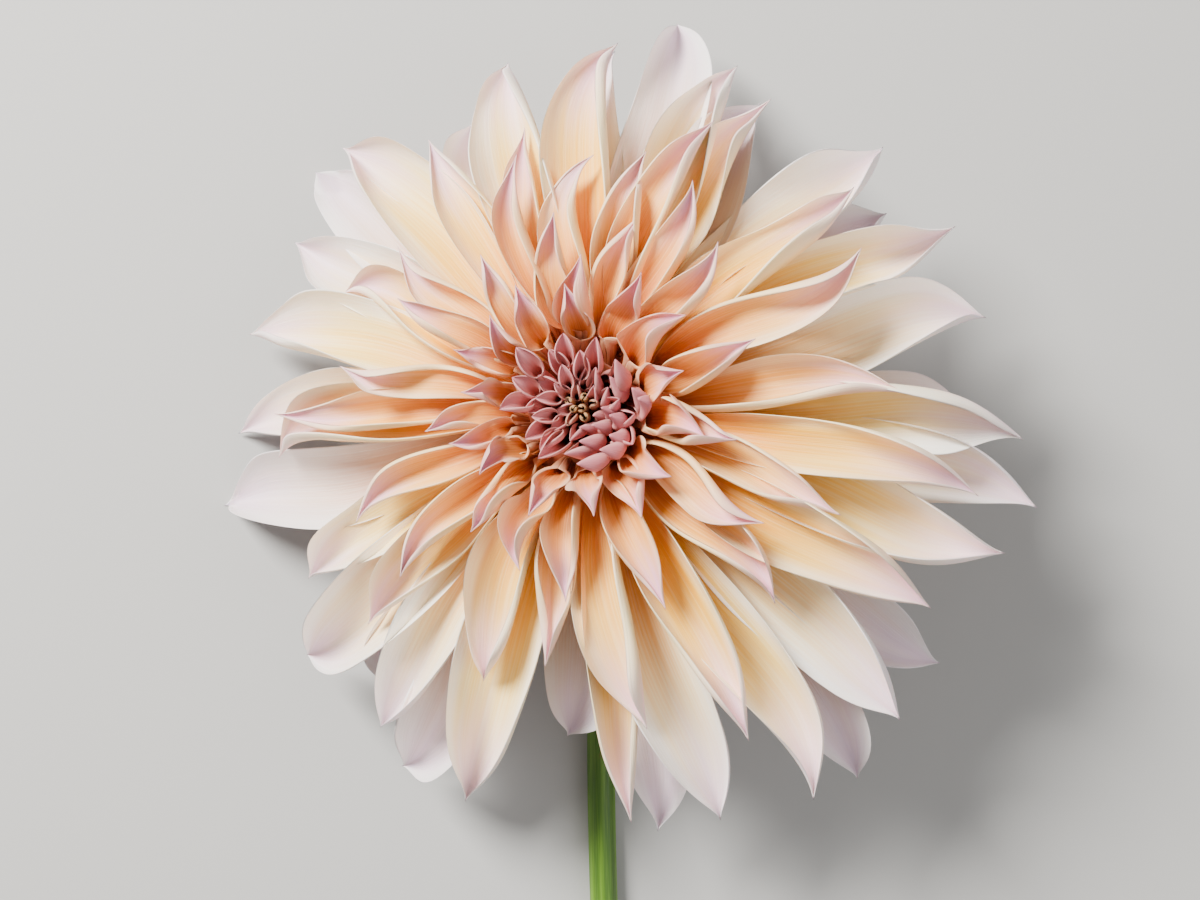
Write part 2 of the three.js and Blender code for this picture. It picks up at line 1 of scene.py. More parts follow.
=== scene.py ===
import bpy
import numpy as np
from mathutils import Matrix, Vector


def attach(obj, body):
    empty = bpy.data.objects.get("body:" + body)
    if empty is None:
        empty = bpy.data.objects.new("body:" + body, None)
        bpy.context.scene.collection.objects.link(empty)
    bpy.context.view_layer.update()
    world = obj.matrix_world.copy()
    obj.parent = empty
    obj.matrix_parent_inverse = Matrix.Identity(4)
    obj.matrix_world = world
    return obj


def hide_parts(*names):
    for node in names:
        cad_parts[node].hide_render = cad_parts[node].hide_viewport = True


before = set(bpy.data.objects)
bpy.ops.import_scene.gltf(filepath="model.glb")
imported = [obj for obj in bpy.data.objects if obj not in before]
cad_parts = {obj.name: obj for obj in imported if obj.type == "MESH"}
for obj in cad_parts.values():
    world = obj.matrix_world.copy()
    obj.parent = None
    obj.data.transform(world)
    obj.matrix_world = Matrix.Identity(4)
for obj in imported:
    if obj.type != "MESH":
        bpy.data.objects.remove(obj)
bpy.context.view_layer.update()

# A cut dahlia that lies face up. Shapes are worked out in millimetres in the frame's own axes, +Z up from
# the surface, and put into the meshes in metres. Angles are in degrees, and azimuths run anticlockwise seen
# from above with 0 at +X.
MM = 0.001
SEED = 90217

# The head: the middle of the receptacle's top, and which way its axis leans from upright
HEAD = np.array([-3.085, 42.95, 38.0])
LEAN = 14
LEAN_AZIMUTH = 155

# A petal's blade is thinner than the solid that stands for it. Its grid crowds a little towards the tip and
# towards the margins.
PETAL_THICKNESS = 0.44
STEPS_ALONG = 46
STEPS_ACROSS = 22
TIP_CROWDING = 1.15
MARGIN_CROWDING = 0.82

# How a petal's width, section and thickness change along it and across it. Spans are shares of its length.
ROOT_RISE_POWER = 1.3
TIP_FALL_POWER = 3
SKEW_SOFTNESS = 0.3
FOLD_SOFTNESS = 0.13
FOLD_SPAN = (0.3, 0.95)
WAVE_POWER = 2.5
WAVE_GROWS = (0.15, 0.5)
WAVE_FADES = (0.8, 1.0)
RIBS = 5
MARGIN_POWER = 6
TIP_THINNING = 0.4

# What a petal's form has where it says nothing else. What each name means is said in petal_mesh and in the
# functions that it calls.
PETAL_HABIT = dict(
    root_share=0.17, taper=1.25, pinch=0.0, handle=0.36, thickness=PETAL_THICKNESS, twist=0.0, fold=0.0,
    curl=0.25, skew=0.0, sway=0.0, wave=0.0, waves=1.6, left_phase=0.0, right_phase=0.5, rib=0.12, tint=0.0,
    bud=0.0, pore=0.0, keep=None,
)

# The rows of ray florets, from the back of the head to the middle. Heights are along the head's axis from
# the receptacle's top. Each petal is [azimuth, reach from the axis, rise of its tip, twist, breadth as a
# share of the row's width], as the flower in the photograph has them. The last three may be left out.
ROWS = [
    dict(
        name="back_petals", root_radius=12, root_height=4, lift=3, tip_height=-16, tip_lift=-30, width=28,
        cup=46, tube=76, mouth=(0.0, 0.6), widest=0.7, fold=26, pinch=30, curl=0.3, taper=1.5,
        petals=[
            [140, 119, -6], [263, 88], [191, 119, -4], [229, 100, -6], [238, 115, -6], [277, 114, -4],
            [305, 119, -11], [324, 112, -10], [359, 102, -4], [36, 96, 2], [63, 99, 3], [81, 117, -1],
            [119, 93, -4],
        ],
    ),
    dict(
        name="lower_outer_petals", root_radius=12, root_height=5.5, lift=15, tip_height=-8, tip_lift=-22,
        width=29, cup=60, tube=96, mouth=(0.0, 0.6), widest=0.7, fold=26, pinch=36, curl=0.35, taper=1.5,
        petals=[
            [181, 111, -6], [150, 107, 2], [114, 97, -4], [89, 106, -3], [44, 107, -3], [14, 107, -3],
            [348, 119, -4, -20], [315, 114, 0, 0, 1.15], [287, 113, -1], [234, 106, 2],
            [217, 110, -6, 0, 1.1],
        ],
    ),
    dict(
        name="upper_outer_petals", root_radius=12, root_height=7, lift=26, tip_height=-2, tip_lift=-16,
        width=27.5, cup=74, tube=110, mouth=(0.0, 0.6), widest=0.7, fold=26, pinch=44, curl=0.4, taper=1.55,
        petals=[
            [166, 108, -3], [134, 111, -2, 0, 1.15], [105, 105, 2, 0, 1.25], [69, 105, -5], [27, 108, -1],
            [356, 113, 0, 30], [341, 114, 2, 0, 1.3], [300, 117, -1], [251, 111, 0, 0, 1.15], [208, 95, -3],
        ],
    ),
    dict(
        name="second_row_petals", root_radius=12, root_height=9, lift=36, tip_height=7, tip_lift=-12,
        width=23.5, cup=96, tube=150, mouth=(0.08, 0.6), widest=0.67, fold=22, curl=0.5, pinch=50, taper=1.6,
        petals=[
            [276, 109, -3], [330, 103, 0, 0, 1.35], [87, 104, -4, 0, 1.2], [60, 97], [121, 89, 4],
            [187, 91, -3], [154, 82, -4], [223, 84, 1], [249, 77, 3], [347, 104, 4], [39, 91, 4],
            [297, 96, 5], [282, 85, 8],
        ],
    ),
    dict(
        name="third_row_petals", root_radius=12.5, root_height=10.5, lift=46, tip_height=18, tip_lift=-2,
        width=18.5, cup=114, tube=176, mouth=(0.2, 0.68), widest=0.64, fold=20, curl=0.55, handle=0.4,
        pinch=50, taper=1.6, root_share=0.22, right_gain=0.1,
        petals=[
            [28, 83, 3], [1, 84, 5], [337, 74, 7], [180, 87, -1], [139, 68, 1], [103, 80, -4], [206, 69],
            [223, 66, 3], [170, 66, 7], [87, 67, 2], [75, 69, 6], [65, 83, 1], [315, 72, 1], [263, 68, 3],
        ],
    ),
    dict(
        name="fourth_row_petals", root_radius=13, root_height=12, lift=54, tip_height=29, tip_lift=6,
        width=16.5, cup=118, tube=180, mouth=(0.3, 0.72), widest=0.62, fold=18, curl=0.55, handle=0.42,
        pinch=50, taper=1.6, root_share=0.28, right_gain=0.15,
        petals=[
            [149, 55], [104, 69, -5], [62, 65, -2], [46, 55, 2], [17, 50, 3], [328, 59, 4], [295, 58, -2],
            [269, 51], [254, 45, 1], [233, 42, 2], [191, 39, 4], [122, 46, 2], [95, 49, 3], [70, 51],
            [346, 45, 5],
        ],
    ),
    dict(
        name="fifth_row_petals", root_radius=13.4, root_height=14, lift=62, tip_height=37, tip_lift=20,
        width=14.5, cup=112, tube=180, mouth=(0.4, 0.76), widest=0.6, fold=14, curl=0.5, handle=0.45,
        pinch=46, taper=1.5, root_share=0.36, right_gain=0.2,
        petals=[
            [344, 37, -2, 20], [34, 37, -2, -20], [58, 37, -1], [84, 37, 1], [115, 33, -2], [132, 29],
            [156, 33, -2], [199, 33, -5], [222, 29, 2], [254, 31], [285, 31, -1], [303, 36, -2], [90, 29],
            [12, 31, 0, -20], [176, 27], [324, 34, -2],
        ],
    ),
]

# What each petal takes from its row as it is, if the row has it
FROM_ROW = ["widest", "tube", "fold", "pinch", "taper", "curl", "root_share", "handle"]

# How far the draws change the rest: degrees, mm for the tip's height, and shares for width, cup, skew and
# sway
RAY_DRAWS = dict(
    lift=3, tip_height=1.5, tip_lift=12, bow=28, width=0.08, cup=0.12, twist=28, skew=0.28, sway=0.08,
)

# How high the margins wave, in mm, and how many waves they have: the mean, and how far the draws change it
WAVE_HEIGHT = (2.6, 1.3)
WAVE_COUNT = (1.8, 0.6)

# Rows rooted above this height keep clear of the centre florets
KEEP_CLEAR_ABOVE = 9.5

# The skirt under the head: strongly bent back petals whose tips rest on the surface, clear of the stem
SKIRT_AZIMUTHS = [20, 60, 100, 140, 180, 220, 300, 340]
SKIRT_ROOT = dict(radius=12, height=3.2, lift=-8)
SKIRT_REACH = 80
SKIRT_REACH_DRAW = 5
SKIRT_TIP_HEIGHT = -12
SKIRT_TIP_LIFT = -20

# The centre florets: a spiral of small rolled florets inside a cone that opens upwards and leans to one
# side
CENTRE_FLORETS = 48
GOLDEN_ANGLE = 137.508
CONE_RADIUS = 8.2
CONE_FOOT = 12.4
CONE_SLOPE = 0.51
CONE_LEAN = 0.1
CONE_EASE = 0.8
CONE_MARGIN_OUTSIDE = 0.9
CONE_MARGIN_INSIDE = -0.2
NARROWEST_CONE = 1.0
NEAREST_TO_CONE_AXIS = 0.05
INCURVED_AZIMUTH = -25
CENTRE_TIPS_ASIDE = 3.5

# The bracts: how many of each, from which azimuth on
PAPERY_BRACTS = 8
PAPERY_BRACTS_FROM = 20
GREEN_BRACTS = 5
GREEN_BRACTS_FROM = 18

# Turned pieces, as outlines of [radius, height] along the head's axis
TURNED_STEPS_AROUND = 96
TURNED_STEPS_PER_STRETCH = 12
FLUTES = 5
CUP_FLUTE = 0.015
CROWN_OUTLINE = [
    [0, 1.9], [16, 1.9], [19, 5], [19, 9], [17.4, 13.5],
    [14.6, 17], [13, 18.3], [12.2, 17.6], [8.8, 12], [0, 12],
]
COLLAR_OUTLINE = [[0, -1.1], [12.6, -1.1], [13.1, 0.4], [12.8, 1.5], [0, 1.5]]
CUP_OUTLINE = [[0, -15], [4.5, -15], [5.4, -12], [8.4, -7], [11.2, -3.4], [11.6, -1.5], [0, -1.5]]

# The stem starts just below the cup, bends down to the surface and runs along it to the cut end
STEM_RADIUS = 4
STEM_TOP_HEIGHT = -15.35
NECK_RUN = 24
STEM_LENGTH_BEHIND_HEAD = 199
STEM_END_ASIDE = 4.5
STEM_STEPS_AROUND = 72
NECK_STEPS = 30
RUN_STEPS = 60

# Low ridges round the stem, as (height as a share of the radius, number, phase)
RIDGES = [(0.018, 7, 0.4), (0.01, 13, 0.0)]

# At the cut end the rings step inwards, over the rim and down into the pith, as (depth, share of the
# radius)
CUT_END = [(0.0, 0.97), (0.0, 0.9), (0.5, 0.8), (0.9, 0.62), (1.4, 0.5), (7.0, 0.4), (9.0, 0.2)]

# The stem's colours are laid out in lengths of this many mm
STEM_COLOUR_LENGTH = 200


# The head's own frame

def aim(azimuth, lift):
    """The unit direction at that azimuth, lifted by that angle from level."""
    azimuth = np.radians(azimuth)
    lift = np.radians(lift)
    level = np.cos(lift)
    return np.array([level * np.cos(azimuth), level * np.sin(azimuth), np.sin(lift)])


def turn_about(axis, angle):
    """The matrix of a turn about a unit axis, by Rodrigues' formula: identity, plus the sine of the angle
    times the axis' cross matrix, plus one less the cosine times that matrix squared."""
    x, y, z = axis
    cross = np.array([[0, -z, y], [z, 0, -x], [-y, x, 0]])
    angle = np.radians(angle)
    return np.eye(3) + np.sin(angle) * cross + (1 - np.cos(angle)) * cross @ cross


HEAD_TURN = turn_about(aim(LEAN_AZIMUTH + 90, 0), LEAN)
HEAD_AXIS = HEAD_TURN @ np.array([0, 0, 1.0])


def head_aim(azimuth, lift):
    return HEAD_TURN @ aim(azimuth, lift)


def head_point(radius, azimuth, height):
    point = radius * aim(azimuth, 0)
    point[2] = height
    return HEAD_TURN @ point + HEAD


# Draws and easing

class Draws:
    """Repeatable draws between -1 and 1: the state is multiplied by a factor, modulo a prime."""

    FACTOR = 48271
    PRIME = 2147483647

    def __init__(self, seed):
        self.state = seed

    def __call__(self):
        self.state = self.state * self.FACTOR % self.PRIME
        return 2 * self.state / self.PRIME - 1


# The solids have the first draws too, in the same order, and the finer draws are for what only these petals
# have.
draw = Draws(SEED)
fine_draw = Draws(SEED + 1)


def smooth(x, start, end):
    """0 before start, 1 after end, and an eased rise between them: t squared times (3 less 2 t)."""
    t = np.clip((x - start) / (end - start), 0, 1)
    return t * t * (3 - 2 * t)


# Meshes

def mesh_object(name, points, faces, point_uv, marks, material):
    """Puts points in mm and their faces into a smooth mesh at the origin, with a UV map and named point
    marks."""
    mesh = bpy.data.meshes.new(name)
    mesh.from_pydata((points * MM).tolist(), [], faces)
    layer = mesh.uv_layers.new(name="blade")
    corners = np.empty(len(mesh.loops), np.int32)
    mesh.loops.foreach_get("vertex_index", corners)
    layer.data.foreach_set("uv", point_uv[corners].astype(np.float32).ravel())
    for mark, values in marks.items():
        attribute = mesh.attributes.new(mark, "FLOAT", "POINT")
        attribute.data.foreach_set("value", values.astype(np.float32))
    mesh.polygons.foreach_set("use_smooth", np.ones(len(mesh.polygons), bool))
    mesh.materials.append(material)
    mesh.update()
    piece = bpy.data.objects.new(name, mesh)
    bpy.context.scene.collection.objects.link(piece)
    return piece


def loft_faces(pieces, rings, ring_points):
    """Faces of closed lofts: each is rings of points, joined ring to ring by quads, with a pole point
    before the first ring and one after the last, joined by triangles."""
    per_piece = rings * ring_points + 2
    start = np.arange(pieces)[:, None, None] * per_piece
    i = np.arange(rings - 1)[None, :, None] * ring_points
    k = np.arange(ring_points)[None, None, :]
    after = (k + 1) % ring_points
    quads = np.stack([
        start + 1 + i + k,
        start + 1 + i + after,
        start + 1 + i + ring_points + after,
        start + 1 + i + ring_points + k,
    ], axis=-1).reshape(-1, 4)
    start = start[:, 0]
    k = k[0]
    after = after[0]
    first = np.stack(np.broadcast_arrays(start, start + 1 + after, start + 1 + k), axis=-1).reshape(-1, 3)
    last = start + 1 + (rings - 1) * ring_points
    end = np.stack(np.broadcast_arrays(start + per_piece - 1, last + k, last + after), axis=-1).reshape(-1, 3)
    return quads.tolist() + first.tolist() + end.tolist()


def cubic(start, early, late, end, t):
    """Points and unit directions along a cubic curve from start to end, whose two handles are early and
    late."""
    s = 1 - t
    points = s ** 3 * start + 3 * s * s * t * early + 3 * s * t * t * late + t ** 3 * end
    ahead = s * s * (early - start) + 2 * s * t * (late - early) + t * t * (end - late)
    return points, unit(ahead)


def unit(vectors):
    return vectors / np.linalg.norm(vectors, axis=-1)[..., None]


# Petals

class Forms:
    """The forms of several petals, read as arrays with one entry for each petal."""

    def __init__(self, forms):
        self.each = [{**PETAL_HABIT, **form} for form in forms]

    def every(self, key):
        return np.array([form[key] for form in self.each], float)

    def level(self, key):
        """The same, ready to meet arrays of [petal, along, across]."""
        return self.every(key)[:, None, None]


def blade_width(u, widest, root_share, taper):
    """A blade's width at u as a share of its full width. Up to the widest place it rises from root_share as
    a quarter sine wave to the power 1.3, and past it it falls as one less the cube of the way, to the power
    taper."""
    rise = np.sin(np.pi / 2 * np.minimum(u / widest, 1)) ** ROOT_RISE_POWER
    fall = np.clip((u - widest) / (1 - widest), 0, 1)
    return np.where(u < widest, root_share + (1 - root_share) * rise, (1 - fall ** TIP_FALL_POWER) ** taper)


def spine_frames(forms, u):
    """Each petal's spine: its points, and the unit directions to the side and up across it. The spine is a
    cubic curve that leaves the root along root_aim and comes into the tip along tip_aim, its handles as
    long as the root is far from the tip times handle. It sways sideways by the sine of a full turn times u
    squared, and the directions turn about it by twist times u squared."""
    root = forms.every("root")
    tip = forms.every("tip")
    reach = np.linalg.norm(tip - root, axis=1)[:, None] * forms.every("handle")[:, None]
    early = root + forms.every("root_aim") * reach
    late = tip - forms.every("tip_aim") * reach
    middle, ahead = cubic(root[:, None], early[:, None], late[:, None], tip[:, None], u[None, :, None])
    way = u[None, :, None]
    side = (1 - way) * forms.every("root_side")[:, None] + way * forms.every("tip_side")[:, None]
    side = unit(side - (side * ahead).sum(2)[..., None] * ahead)
    middle = middle + forms.level("sway") * np.sin(2 * np.pi * way) * way ** 2 * side
    twist = np.radians(forms.level("twist")) * way ** 2
    side = side * np.cos(twist) + np.cross(ahead, side) * np.sin(twist)
    return middle, side, np.cross(ahead, side)


def section_turns(forms, way, v):
    """How far a petal's section has turned up at v from -1 to 1 across it, and how far each half of it is
    tilted up besides. The turn is that of the root's tube, which opens into the cup between the mouth's
    start and end, plus the pinch towards the tip, all times v, with more of the turn near the margins by
    the curl and more on one side by the skew. The tilt is the fold."""
    start = forms.level("mouth_start")
    mouth = np.clip((way - start) / (forms.level("mouth_end") - start), 0, 1)
    opening = np.sqrt(mouth * (2 - mouth))
    tube = forms.level("tube")
    turn = np.radians(tube + (forms.level("cup") - tube) * opening + forms.level("pinch") * way ** 3)
    curl = forms.level("curl") * opening
    skew = forms.level("skew") * opening * np.tanh(v / SKEW_SOFTNESS)
    angle = turn * (1 + skew) * v * (1 - curl + curl * v ** 2)
    tilt = np.radians(forms.level("fold")) * smooth(way, *FOLD_SPAN) * np.tanh(v / FOLD_SOFTNESS)
    return angle, tilt


def summed_from_middle(slopes, v):
    """The running sum of the slopes over v, by trapezoids, from nothing at the middle of v."""
    steps = 0.5 * (slopes[..., 1:] + slopes[..., :-1]) * np.diff(v)
    sums = np.concatenate([np.zeros(steps.shape[:-1] + (1,)), np.cumsum(steps, axis=-1)], axis=-1)
    middle = len(v) // 2
    return sums - sums[..., middle:middle + 1]


def margin_waves(forms, way, v):
    """How far the margins wave up and down, in mm: a sine with that many waves along each margin, nothing
    at the root and the tip, and fading towards the middle as v to the power 2.5."""
    phase = np.where(v < 0, forms.level("left_phase"), forms.level("right_phase"))
    wave = forms.level("wave") * np.sin(2 * np.pi * (forms.level("waves") * way + phase))
    return wave * np.abs(v) ** WAVE_POWER * smooth(way, *WAVE_GROWS) * (1 - smooth(way, *WAVE_FADES))


def low_ribs(forms, way, v):
    """The height of the lengthwise ribs, in mm: a cosine with five waves across, highest at the blade's
    middle."""
    return forms.level("rib") * np.cos(2 * np.pi * RIBS / 2 * v) * (1 - v ** 2) * np.sin(np.pi * way)


def along_direction(amount, direction):
    """Lengths of [petal, along, across] along directions of [petal, along]."""
    return amount[..., None] * direction[:, :, None]


def middle_surface(forms, u, v):
    """Points of the petals' middle surfaces and the unit directions that their inner faces look in. Each is
    a trough carried along its spine: its way sideways and up are the running sums of the cosine and the
    sine of the section's turn, in half-widths, with each half tilted. The margins wave, and low ribs run
    lengthwise. A form's keep, where it has one, is a function that moves the points clear of others."""
    way = u[None, :, None]
    middle, side, up = spine_frames(forms, u)
    width = blade_width(way, forms.level("widest"), forms.level("root_share"), forms.level("taper"))
    half_width = 0.5 * forms.level("width") * width
    angle, tilt = section_turns(forms, way, v)
    sideways = summed_from_middle(np.cos(angle), v)
    upward = summed_from_middle(np.sin(angle), v)
    tilted_side = sideways * np.cos(tilt) - upward * np.sin(tilt)
    tilted_up = sideways * np.sin(tilt) + upward * np.cos(tilt)
    rise = half_width * tilted_up + margin_waves(forms, way, v)
    surface = middle[:, :, None] + along_direction(half_width * tilted_side, side) + along_direction(rise, up)
    facing = along_direction(np.cos(angle + tilt), up) - along_direction(np.sin(angle + tilt), side)
    surface = surface + low_ribs(forms, way, v)[..., None] * facing
    for form, petal in zip(forms.each, surface):
        if form["keep"]:
            petal[:] = form["keep"](petal)
    return surface, facing


def pressed(points, lowest):
    """Points that would sink below that height lie pressed flat at it."""
    flat = points.copy()
    flat[..., 2] = np.maximum(points[..., 2], lowest)
    return flat


def petal_mesh(name, forms, material, along=STEPS_ALONG, across=STEPS_ACROSS):
    """Petals as closed lofts. At u from 0 at the root to 1 at the tip and v from -1 to 1 across, the inner
    and outer faces stand half the thickness off the middle surface. The thickness falls to 0.6 of itself at
    the tip, and at the margins to nothing, as the square root of one less the sixth power of v. The pole
    that closes the tip stands back by the pore, which leaves a small hole in a bud."""
    forms = Forms(forms)
    u = 1 - (1 - np.linspace(0, 1, along + 1)[:-1]) ** TIP_CROWDING
    quarter = np.pi / 2 * MARGIN_CROWDING
    v = np.sin(np.linspace(-1, 1, across + 1) * quarter) / np.sin(quarter)
    surface, facing = middle_surface(forms, u, v)
    way = u[None, :, None]
    thin = 0.5 * forms.level("thickness") * np.sqrt(1 - np.abs(v) ** MARGIN_POWER) * (1 - TIP_THINNING * way)
    inner = pressed(surface + thin[..., None] * facing, 2 * thin)
    outer = pressed(surface - thin[..., None] * facing, 0)

    ring = np.concatenate([inner, outer[:, :, -2:0:-1]], axis=2)
    pieces, rings, ring_points, _ = ring.shape
    root = ring[:, :1].mean(2)
    tip = pressed(forms.every("tip") - forms.every("pore")[:, None] * forms.every("tip_aim"), 0)[:, None]
    points = np.concatenate([root, ring.reshape(pieces, -1, 3), tip], axis=1).reshape(-1, 3)

    ring_v = np.concatenate([v, v[-2:0:-1]])
    ring_face = np.concatenate([np.ones(across + 1), -np.ones(across - 1)])
    ring_face[[0, across]] = 0
    body_u = np.concatenate([[0], np.repeat(u, ring_points), [1]])
    body_v = np.concatenate([[0], np.tile(ring_v, rings), [0]])
    face = np.concatenate([[0], np.tile(ring_face, rings), [0]])
    uv = np.tile(np.stack([body_u, 0.5 + 0.5 * body_v], axis=1), (pieces, 1))
    marks = {
        "inner_face": np.tile(face, pieces),
        "tint": np.repeat(forms.every("tint"), rings * ring_points + 2),
        "bud": np.repeat(forms.every("bud"), rings * ring_points + 2),
    }
    return mesh_object(name, points, loft_faces(pieces, rings, ring_points), uv, marks, material)


# Forms of the petals

def head_form(
    azimuth, reach, root_radius, root_height, lift, tip_height, tip_lift, bow=0, root_azimuth=None, **rest
):
    """A petal's form, placed by its root and tip in the head's frame. The bow turns the tip's aim
    sideways."""
    if root_azimuth is None:
        root_azimuth = azimuth
    return dict(
        root=head_point(root_radius, root_azimuth, root_height),
        root_aim=head_aim(root_azimuth, lift),
        tip=head_point(reach, azimuth, tip_height),
        tip_aim=head_aim(azimuth + bow, tip_lift),
        root_side=head_aim(root_azimuth + 90, 0),
        tip_side=head_aim(azimuth + 90, 0),
        **rest,
    )


def with_fine_draws(forms):
    """Adds what only these petals have: their tint, and how their margins wave."""
    for form in forms:
        form.update(
            tint=fine_draw(),
            wave=WAVE_HEIGHT[0] + WAVE_HEIGHT[1] * fine_draw(),
            waves=WAVE_COUNT[0] + WAVE_COUNT[1] * fine_draw(),
            left_phase=fine_draw(),
            right_phase=fine_draw(),
        )
    return forms


def ray_form(row, azimuth, reach, rise=0, twist=0, breadth=1):
    """One petal of a row, with its own small draws. Rows near the middle have wider petals on the right."""
    right = 1 + row.get("right_gain", 0) * np.cos(np.radians(azimuth))
    return head_form(
        azimuth=azimuth,
        reach=reach,
        root_radius=row["root_radius"],
        root_height=row["root_height"],
        lift=row["lift"] + RAY_DRAWS["lift"] * draw(),
        tip_height=row["tip_height"] + rise + RAY_DRAWS["tip_height"] * draw(),
        tip_lift=row["tip_lift"] + RAY_DRAWS["tip_lift"] * draw(),
        bow=RAY_DRAWS["bow"] * draw(),
        width=row["width"] * breadth * (1 + RAY_DRAWS["width"] * draw()) * right,
        cup=row["cup"] * (1 + RAY_DRAWS["cup"] * draw()),
        twist=twist + RAY_DRAWS["twist"] * draw(),
        skew=RAY_DRAWS["skew"] * draw(),
        sway=RAY_DRAWS["sway"] * reach * draw(),
        mouth_start=row["mouth"][0],
        mouth_end=row["mouth"][1],
        keep=outside_centre_cone if row["root_height"] > KEEP_CLEAR_ABOVE else None,
        **{key: row[key] for key in FROM_ROW if key in row},
    )


def row_forms(row):
    return with_fine_draws([ray_form(row, *petal) for petal in row["petals"]])


def skirt_form(azimuth):
    """A petal of the skirt, whose tip rests on the surface."""
    tip = (SKIRT_REACH + SKIRT_REACH_DRAW * draw()) * aim(azimuth, 0) + HEAD
    tip[2] = SKIRT_TIP_HEIGHT
    return dict(
        root=head_point(SKIRT_ROOT["radius"], azimuth, SKIRT_ROOT["height"]),
        root_aim=head_aim(azimuth, SKIRT_ROOT["lift"]),
        tip=tip,
        tip_aim=aim(azimuth, SKIRT_TIP_LIFT),
        root_side=head_aim(azimuth + 90, 0),
        tip_side=aim(azimuth + 90, 0),
        width=19,
        widest=0.6,
        cup=14,
        tube=44,
        mouth_start=0.0,
        mouth_end=0.6,
    )


def skirt_forms():
    return with_fine_draws([skirt_form(azimuth) for azimuth in SKIRT_AZIMUTHS])


def across_cone(points, margin, outside):
    """Moves points to one side of the cone that the centre florets fill. A point's distance r from the
    cone's axis becomes c plus or minus e ln(1 + exp(d / e)), where c is the cone's radius at its height, e
    is the ease and d is how far the point already is on that side."""
    local = points - HEAD
    height = local @ HEAD_AXIS
    lean = CONE_LEAN * (height - CONE_FOOT)
    outward = local - height[..., None] * HEAD_AXIS - lean[..., None] * head_aim(INCURVED_AZIMUTH, 0)
    radius = np.linalg.norm(outward, axis=-1)
    cone = np.maximum(CONE_RADIUS + (height - CONE_FOOT) * CONE_SLOPE + margin, NARROWEST_CONE)
    way = 1 if outside else -1
    wanted = cone + way * CONE_EASE * np.logaddexp(0, way * (radius - cone) / CONE_EASE)
    wanted = np.maximum(wanted, NEAREST_TO_CONE_AXIS)
    return points + outward * ((wanted - radius) / np.maximum(radius, 1e-6))[..., None]


def outside_centre_cone(points):
    return across_cone(points, CONE_MARGIN_OUTSIDE, True)


def inside_centre_cone(points):
    return across_cone(points, CONE_MARGIN_INSIDE, False)


def blended_aim(first, second, share):
    return unit((1 - share) * first + share * second)


def centre_form(k):
    """The centre floret of that number, from the outermost to the bud tips in the middle. Those on the left
    and at the top open outwards as small cups, and those on the right and below lean over the middle and
    show their backs. Every fourth one leans over half as much. Each measure starts from the outermost
    floret's, and changes inwards, for those that lean over and for the buds."""
    inward = k / (CENTRE_FLORETS - 1)
    ring = np.sqrt(1 - 0.97 * inward)
    bud = smooth(inward, 0.8, 0.94)
    azimuth = k * GOLDEN_ANGLE % 360
    facing = 0.5 + 0.5 * np.cos(np.radians(azimuth - INCURVED_AZIMUTH))
    incurved = smooth(facing, 0.3, 0.75) * (0.5 if k % 4 == 1 else 1)
    open_incurved = incurved * (1 - bud)
    form = head_form(
        azimuth=azimuth + 8 * draw(),
        root_azimuth=azimuth,
        reach=(20 * ring ** 1.3 - (8 - 4 * ring) * open_incurved * ring) * (1 + 0.09 * draw()),
        root_radius=7.2 * ring,
        root_height=13.5 + 3.5 * inward,
        lift=56 + 28 * inward - 13 * incurved,
        tip_height=37 + 3 * incurved - 6 * inward + 1.6 * draw(),
        tip_lift=30 + 56 * bud,
        bow=24 * draw(),
        width=(12.2 + incurved) * (1 - 0.55 * inward),
        widest=0.78 - 0.1 * incurved,
        root_share=0.35,
        cup=102 - 22 * incurved + 66 * bud,
        tube=165 - 60 * incurved + 10 * bud,
        mouth_start=0.72 - 0.22 * incurved,
        mouth_end=0.98,
        twist=30 * draw(),
        fold=14 + 18 * open_incurved,
        handle=0.42 + 0.12 * incurved,
        taper=0.95 - 0.8 * bud,
        pore=1.8 * bud,
        rib=0.05,
        keep=inside_centre_cone,
        tint=fine_draw(),
        bud=bud,
    )
    form["tip"] = form["tip"] + CENTRE_TIPS_ASIDE * head_aim(INCURVED_AZIMUTH, 0)
    back_over = head_aim(INCURVED_AZIMUTH + 180, 34)
    form["tip_aim"] = blended_aim(form["tip_aim"], back_over, open_incurved)
    return form


# Forms of the bracts

def evenly_round(count, first):
    return [first + k * 360 / count for k in range(count)]


def papery_bract_form(azimuth):
    return head_form(
        azimuth=azimuth, reach=23, root_radius=10, root_height=0.2, lift=-12, tip_height=-9, tip_lift=-48,
        width=10.5, widest=0.5, root_share=0.6, cup=-24, tube=-23, mouth_start=0, mouth_end=1, thickness=0.4,
        tint=fine_draw(),
    )


def green_bract_form(azimuth):
    return head_form(
        azimuth=azimuth, reach=26, root_radius=5, root_height=-7.5, lift=-8, tip_height=-24, tip_lift=-62,
        bow=6 * draw(), width=9, widest=0.55, root_share=0.6, cup=20, tube=21, mouth_start=0, mouth_end=1,
        pinch=20, twist=8 * draw(), thickness=1.0, tint=fine_draw(),
    )


# Turned and swept pieces

